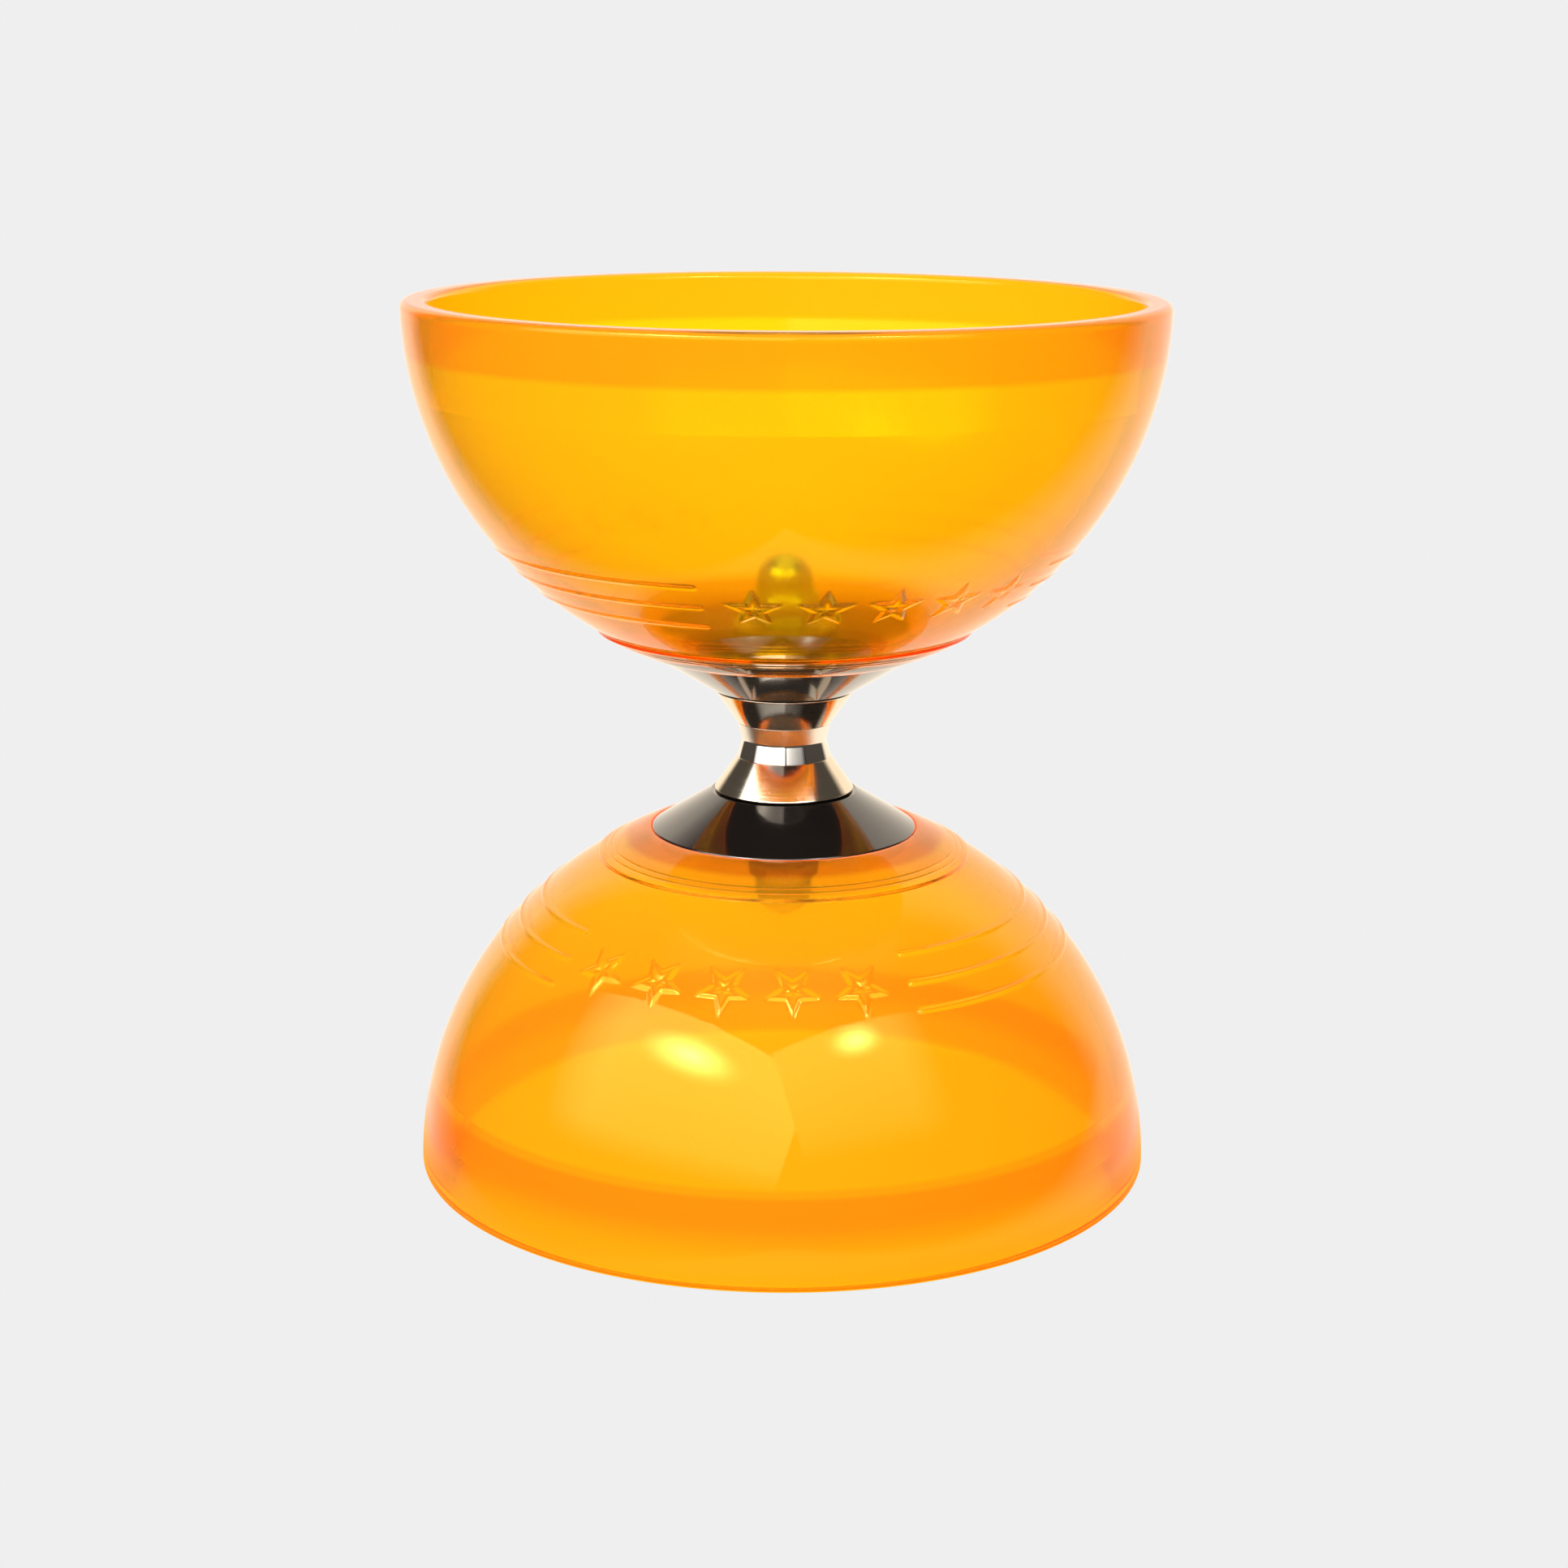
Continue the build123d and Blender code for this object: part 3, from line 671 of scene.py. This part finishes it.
# ---- Hub cones --------------------------------------------------------------------------------
def hub_piece():
    """Points and faces of the hollow cone, with its ribs as closed plates across the pocket."""
    slope = (HUB_EDGE_RADIUS - HUB_NOSE_RADIUS) / (HUB_EDGE_Z - HUB_NOSE_Z)
    pocket_r = HUB_EDGE_RADIUS - HUB_RIM_LAND
    pocket_z = HUB_NOSE_Z + (pocket_r - HUB_NOSE_RADIUS) / slope + HUB_SHELL
    top_z = HUB_NOSE_Z + HUB_SHELL
    top_r = pocket_r - (pocket_z - top_z) * slope
    shell = rounded([
        (AXLE_HOLE_RADIUS, SPIGOT_END_Z, BORE_FILLET),
        (AXLE_HOLE_RADIUS, HUB_NOSE_Z + SPACER_SEAT_DEPTH, FINE_FILLET),
        (SPACER_SEAT_RADIUS, HUB_NOSE_Z + SPACER_SEAT_DEPTH, FINE_FILLET),
        (SPACER_SEAT_RADIUS, HUB_NOSE_Z, FINE_FILLET),
        (HUB_NOSE_RADIUS, HUB_NOSE_Z, HUB_NOSE_FILLET),
        (HUB_EDGE_RADIUS, HUB_EDGE_Z, HUB_EDGE_FILLET),
        (HUB_EDGE_RADIUS, SEAT_Z, FINE_FILLET),
        (pocket_r, SEAT_Z, HUB_BACK_FILLET),
        (pocket_r, pocket_z, HUB_POCKET_FILLET),
        (top_r, top_z, HUB_POCKET_FILLET),
        (HUB_BOSS_RADIUS, top_z, HUB_POCKET_FILLET),
        (HUB_BOSS_RADIUS, SEAT_Z, HUB_BACK_FILLET),
        (SPIGOT_RADIUS, SEAT_Z, FINE_FILLET),
        (SPIGOT_RADIUS, SPIGOT_END_Z, BORE_FILLET),
    ])
    points = turned(shell, HUB_COLUMNS)
    faces = stitched(points, closed=True)
    start = sum(len(p) for p in points)
    inner_r, outer_r = HUB_BOSS_RADIUS - HUB_RIB_ROOT, pocket_r + HUB_RIB_ROOT
    rib_top = SEAT_Z - HUB_RIB_CLEARANCE
    profile = (
        (inner_r, top_z - HUB_RIB_ROOT), (top_r, top_z - HUB_RIB_ROOT),
        (outer_r, pocket_z), (outer_r, rib_top), (inner_r, rib_top),
    )
    count = len(profile)
    for index in range(HUB_RIB_COUNT):
        turn = 2 * pi * index / HUB_RIB_COUNT
        out = np.array((cos(turn), sin(turn), 0.0))
        side = np.array((-sin(turn), cos(turn), 0.0)) * HUB_RIB_WIDTH / 2
        plate = [r * out + np.array((0, 0, z)) + s * side for s in (-1, 1) for r, z in profile]
        points.append(np.array(plate))
        faces.append(tuple(start + k for k in range(count)))
        faces.append(tuple(start + count + k for k in reversed(range(count))))
        for k in range(count):
            j = (k + 1) % count
            faces.append((start + j, start + k, start + count + k, start + count + j))
        start += 2 * count
    return points, faces


def add_hubs(material):
    for end, name in END_NAMES.items():
        points, faces = hub_piece()
        add_piece(f"{name}_hub_moulding", points, faces, end, HUB_BODY, material,
                  f"{name}_hub_cone")


# ---- Drum -------------------------------------------------------------------------------------
def add_drum(polished, brushed):
    sleeve = rounded([
        (SLEEVE_BORE_RADIUS, SLEEVE_END_Z, FINE_FILLET),
        (SLEEVE_BORE_RADIUS, -SLEEVE_END_Z, FINE_FILLET),
        (SLEEVE_TUBE_RADIUS, -SLEEVE_END_Z, FINE_FILLET),
        (SLEEVE_TUBE_RADIUS, -GROOVE_EDGE_Z, JOIN_FILLET),
        (GROOVE_EDGE_RADIUS, -GROOVE_EDGE_Z, GROOVE_EDGE_FILLET),
        (GROOVE_RADIUS, 0.0, GROOVE_FILLET),
        (GROOVE_EDGE_RADIUS, GROOVE_EDGE_Z, GROOVE_EDGE_FILLET),
        (SLEEVE_TUBE_RADIUS, GROOVE_EDGE_Z, JOIN_FILLET),
        (SLEEVE_TUBE_RADIUS, SLEEVE_END_Z, FINE_FILLET),
    ])
    rings = turned(sleeve, DRUM_COLUMNS)
    add_piece("drum_sleeve_polished", rings, stitched(rings, closed=True), UPPER,
              DRUM_BODY, polished, "drum_sleeve")
    flank = rounded([
        (FLANK_LIP_RADIUS, FLANK_END_Z, FINE_FILLET),
        (FLANK_LIP_RADIUS, SLEEVE_END_Z, JOIN_FILLET),
        (FLANK_BORE_RADIUS, SLEEVE_END_Z, JOIN_FILLET),
        (FLANK_BORE_RADIUS, GROOVE_EDGE_Z, JOIN_FILLET),
        (GROOVE_EDGE_RADIUS, GROOVE_EDGE_Z, GROOVE_EDGE_FILLET),
        (FLANK_END_RADIUS, FLANK_END_Z, FLANK_EDGE_FILLET),
    ])
    for end, name in END_NAMES.items():
        rings = turned(flank, DRUM_COLUMNS)
        add_piece(f"{name}_flank_turned", rings, stitched(rings, closed=True), end,
                  DRUM_BODY, brushed, f"{name}_drum_flank")


# ---- Nuts and washers -------------------------------------------------------------------------
def nut_rings():
    """A dome nut: flats and corners, both chamfers, the dome and the blind bore."""
    turn = np.arange(NUT_COLUMNS) * (2 * pi / NUT_COLUMNS)
    from_corner = np.abs((turn + pi / 6) % (pi / 3) - pi / 6)
    hexagon = NUT_CORNER_RADIUS * cos(pi / 6) / np.cos(pi / 6 - from_corner)
    chamfer = np.maximum(hexagon - NUT_FLAT_RADIUS, 0.0) * tan(radians(NUT_CHAMFER_ANGLE))
    base, top = WASHER_TOP_Z, WASHER_TOP_Z + NUT_HEX_HEIGHT
    dome_z = NUT_TOP_Z - NUT_DOME_RADIUS
    start = np.minimum(hexagon, NUT_FLAT_RADIUS) - NUT_FACE_INSET
    rings = [ring(1, 0.0, base + NUT_BORE_DEPTH)]
    for radius, height in (
        (NUT_BORE_RADIUS, base + NUT_BORE_DEPTH),
        (NUT_BORE_RADIUS, base + NUT_BORE_CHAMFER),
        (NUT_BORE_RADIUS + NUT_BORE_CHAMFER, base),
        (start, base),
        (hexagon, base + chamfer + NUT_EDGE_INSET),
        (hexagon, top - chamfer - NUT_EDGE_INSET),
        (start, top),
        (NUT_DOME_RADIUS + NUT_DOME_FILLET, top),
        (NUT_DOME_RADIUS, top + NUT_DOME_FILLET),
    ):
        rings.append(ring(NUT_COLUMNS, radius, height))
    for angle in np.linspace(0, pi / 2, NUT_DOME_STEPS + 1)[:-1]:
        rings.append(ring(NUT_COLUMNS, NUT_DOME_RADIUS * cos(angle), dome_z + NUT_DOME_RADIUS * sin(angle)))
    rings.append(ring(1, 0.0, NUT_TOP_Z))
    return rings


def add_fasteners(material):
    washer = rounded([
        (AXLE_HOLE_RADIUS, WASHER_TOP_Z, FINE_FILLET),
        (AXLE_HOLE_RADIUS, CUP_FLOOR_Z, FINE_FILLET),
        (WASHER_RADIUS, CUP_FLOOR_Z, WASHER_LOWER_FILLET),
        (WASHER_RADIUS, WASHER_TOP_Z, WASHER_UPPER_FILLET),
    ])
    for end, name in END_NAMES.items():
        rings = nut_rings()
        add_piece(f"{name}_nut_plated", rings, stitched(rings, closed=False), end,
                  HUB_BODY, material, f"{name}_dome_nut")
        rings = turned(washer, WASHER_COLUMNS)
        add_piece(f"{name}_washer_plated", rings, stitched(rings, closed=True), end,
                  HUB_BODY, material, f"{name}_washer")


# ---- Nodes kept from the CAD ------------------------------------------------------------------
def dress_inner_nodes(plated, bearing, cage):
    """Materials for the pieces inside the drum, which keep their CAD shape."""
    by_slot = {"fastener": plated, "bearing_steel": bearing, "bearing_cage": cage}
    for part in frame["record"]["subparts"]:
        if part["material_slot"] in by_slot:
            for slot in frame["nodes"][part["node"]].material_slots:
                slot.material = by_slot[part["material_slot"]]


# ---- Studio -----------------------------------------------------------------------------------
PALE = (0.863, 0.863, 0.863, 1.0)  # how the ground and the backdrop look
BACKDROP_GLOW = (1.20, 1.05, 0.86, 1.0)  # in reflections, behind the object and overhead
DARK_GLOW = (0.075, 0.068, 0.06, 1.0)  # in reflections, at the sides and in front
THROUGH_GLOW = (1.34, 1.03, 0.60, 1.0)  # through clear plastic
# Painted light: an orange pool on the ground under the cup, standing in for light that passes through its
# wall.
UNDER_CUP_PAINTED_LIGHT = (1.34, 0.53, 0.05, 1.0)  # the ground under the cup, lit through its wall
MIRROR_LOSS = 0.4  # how much darker it is through clear plastic after a mirror bounce
BACKDROP_RIGHT = (48, 62)  # where the bright backdrop fades out, from straight behind
BACKDROP_LEFT = (-44, -32)
BRIGHT_START = 0.11  # how far in front of the axle the ground's bright part begins, in metres
OVERHEAD_RISE = (58, 75)  # the angles above the ground between which it turns bright overhead
FLOOR_RADIUS = 1.6  # in metres, as the gap and the distance below
FLOOR_SIDES = 64
FLOOR_GAP = 0.0003
THROUGH_FADE = 280.0  # seen through a cup, the ground's orange fades out this far from the axle
SPILL_FADE = CUP_RADIUS + 14.0  # and in reflections, this far, both in millimetres
SOFTBOX_DISTANCE = 1.0
SIDE_FADE = 0.5  # a softbox fades towards its outer side from this share of its half width
BOTTOM_FADE = 0.6  # and towards its bottom from this share of its half height
FULL_FROM = 0.6  # and reaches its top's strength at this share of its half height
CORE_SPREAD = (0.42, 0.34, 1.0)  # a softbox's hot core, as a share of its half width and height
CORE_SEEN_THROUGH = 0.12  # the core's share that is left when its reflection is seen through a cup
CAMERA_LENS = 64.7
CAMERA_PLACE = (0.0, -0.46355, 0.10994)  # in metres
CAMERA_DIP = 14.29  # how far down it looks, in degrees
CAMERA_ROLL = 0.29


def behind(tree, x, y):
    """1 behind the object and 0 at its sides and in front, by the angle seen from above."""
    turn = math_node(tree, "ARCTAN2", x, y)
    right = spread(tree, turn, 1.0, 0.0, *(radians(angle) for angle in BACKDROP_RIGHT))
    left = spread(tree, turn, 0.0, 1.0, *(radians(angle) for angle in BACKDROP_LEFT))
    return math_node(tree, "MULTIPLY", right, left)


def by_ray(tree, reflected, through):
    """Pale to the camera, with one colour seen through the cups and another in reflections."""
    path = add_node(tree, "ShaderNodeLightPath")
    loss = spread(tree, path.outputs["Glossy Depth"], 0.0, MIRROR_LOSS, 0.0, 1.0)
    through = mixed(tree, loss, through, (0.0, 0.0, 0.0, 1.0))
    unseen = mixed(tree, path.outputs["Is Transmission Ray"], reflected, through)
    return mixed(tree, path.outputs["Is Camera Ray"], unseen, PALE)


def add_floor():
    """The ground. It only glows, so no shadow falls on it, and the camera sees it evenly pale."""
    mesh = bpy.data.meshes.new("floor")
    points = [(FLOOR_RADIUS * cos(a), FLOOR_RADIUS * sin(a), 0.0)
              for a in np.linspace(0, 2 * pi, FLOOR_SIDES, endpoint=False)]
    mesh.from_pydata(points, [], [tuple(range(FLOOR_SIDES))])
    floor = bpy.data.objects.new("floor", mesh)
    floor.location.z = cad_box[0].z - FLOOR_GAP
    bpy.context.scene.collection.objects.link(floor)
    material, tree, output = new_material("pale_floor")
    place = object_place(tree)
    x, y, _ = split(tree, place)
    further = math_node(tree, "ADD", y, BRIGHT_START)
    from_axle = vector_node(tree, "LENGTH", place)[1]
    reflected = mixed(tree, behind(tree, x, further), DARK_GLOW, BACKDROP_GLOW)
    # Painted light: round the axle the ground shows an orange pool in reflections and through the cups.
    spill = fade(tree, from_axle, CUP_RADIUS, SPILL_FADE)
    reflected = mixed(tree, spill, reflected, UNDER_CUP_PAINTED_LIGHT)
    under_cup = fade(tree, from_axle, CUP_RADIUS, THROUGH_FADE)
    through = mixed(tree, under_cup, THROUGH_GLOW, UNDER_CUP_PAINTED_LIGHT)
    glow = add_node(tree, "ShaderNodeEmission", links={"Color": by_ray(tree, reflected, through)})
    tree.links.new(glow.outputs[0], output.inputs["Surface"])
    mesh.materials.append(material)


def add_softbox(name, azimuth, elevation, width, height, low, high, core, core_at, outer):
    """A glowing panel with a hot core, which fades towards its bottom and its outer side.

    Azimuth 0 is the camera's side and positive to its right. low and high are its strength at the
    bottom and the top, core adds to them, and outer is the outer side's sign in x.
    """
    mesh = bpy.data.meshes.new(name)
    mesh.from_pydata([(-1, -1, 0), (1, -1, 0), (1, 1, 0), (-1, 1, 0)], [], [(0, 1, 2, 3)])
    panel = bpy.data.objects.new(name, mesh)
    turn, rise = radians(azimuth), radians(elevation)
    away = Vector((sin(turn) * cos(rise), -cos(turn) * cos(rise), sin(rise)))
    panel.matrix_world = (
        Matrix.Translation(away * SOFTBOX_DISTANCE)
        @ away.to_track_quat("Z", "Y").to_matrix().to_4x4()
        @ Matrix.Diagonal((width / 2, height / 2, 1, 1))
    )
    panel.visible_camera = False
    panel.visible_transmission = False
    bpy.context.scene.collection.objects.link(panel)
    material, tree, output = new_material(f"{name}_glow")
    place = add_node(tree, "ShaderNodeMapping", {"vector_type": "TEXTURE"}, {
        "Location": (*core_at, 0.0), "Scale": CORE_SPREAD}, {"Vector": object_place(tree)})
    fall = add_node(tree, "ShaderNodeTexGradient", {"gradient_type": "QUADRATIC_SPHERE"},
                    links={"Vector": place.outputs[0]})
    across, up, _ = split(tree, object_place(tree))
    body = spread(tree, up, low, high, -1.0, FULL_FROM)
    outwards = math_node(tree, "MULTIPLY", across, outer)
    downwards = math_node(tree, "MULTIPLY", up, -1.0)
    for value, start in ((outwards, SIDE_FADE), (downwards, BOTTOM_FADE)):
        body = math_node(tree, "MULTIPLY", body, spread(tree, value, 1.0, 0.0, start, 1.0))
    passes = add_node(tree, "ShaderNodeLightPath").outputs["Transmission Depth"]
    core_power = spread(tree, passes, core, CORE_SEEN_THROUGH * core, 0.5, 1.5)
    core_glow = math_node(tree, "MULTIPLY", fall.outputs[1], core_power)
    strength = math_node(tree, "ADD", body, core_glow)
    glow = add_node(tree, "ShaderNodeEmission", links={"Strength": strength})
    tree.links.new(glow.outputs[0], output.inputs["Surface"])
    mesh.materials.append(material)


def add_world():
    """The studio round the ground: bright behind and overhead, and dark at the sides."""
    world = bpy.data.worlds.new("studio")
    bpy.context.scene.world = world
    world.use_nodes = True
    tree = world.node_tree
    tree.nodes.clear()
    output = tree.nodes.new("ShaderNodeOutputWorld")
    place = add_node(tree, "ShaderNodeTexCoord").outputs["Generated"]
    x, y, z = split(tree, place)
    overhead = spread(tree, z, 0.0, 1.0, *(sin(radians(angle)) for angle in OVERHEAD_RISE))
    bright = math_node(tree, "MAXIMUM", behind(tree, x, y), overhead)
    reflected = mixed(tree, bright, DARK_GLOW, BACKDROP_GLOW)
    glow = add_node(tree, "ShaderNodeBackground",
                    links={"Color": by_ray(tree, reflected, THROUGH_GLOW)})
    tree.links.new(glow.outputs[0], output.inputs["Surface"])


def add_camera():
    camera_data = bpy.data.cameras.new("camera")
    camera_data.lens = CAMERA_LENS
    camera = bpy.data.objects.new("camera", camera_data)
    camera.matrix_world = (
        Matrix.Translation(CAMERA_PLACE)
        @ Matrix.Rotation(radians(90 - CAMERA_DIP), 4, "X")
        @ Matrix.Rotation(radians(CAMERA_ROLL), 4, "Z")
    )
    bpy.context.scene.collection.objects.link(camera)
    bpy.context.scene.camera = camera


def main():
    plated = plated_steel()
    add_cups(cup_plastic())
    add_hubs(black_plastic())
    add_drum(
        turned_metal("polished_steel", (0.93, 0.86, 0.77), (0.015, 0.03), 0.004, 0.0, wear=0.2),
        turned_metal("turned_aluminium", (0.92, 0.80, 0.64), (0.09, 0.15), 0.05, 0.3),
    )
    add_fasteners(plated)
    dress_inner_nodes(
        plated,
        turned_metal("bearing_steel", (0.62, 0.62, 0.63), (0.10, 0.18), 0.05, 0.3),
        turned_metal("cage_brass", (0.72, 0.53, 0.26), (0.22, 0.34), 0.05, 0.2),
    )
    add_floor()
    add_softbox("left_softbox", azimuth=-41.5, elevation=29.0, width=1.74, height=0.85,
                low=2.6, high=6.0, core=56.0, core_at=(0.05, 0.50), outer=-1)
    add_softbox("right_softbox", azimuth=31.7, elevation=33.0, width=0.94, height=0.72,
                low=1.0, high=4.2, core=50.0, core_at=(0.05, 0.72), outer=1)
    add_world()
    add_camera()
    bpy.context.scene.view_settings.view_transform = "Standard"
    bpy.context.scene.view_settings.look = "None"


main()
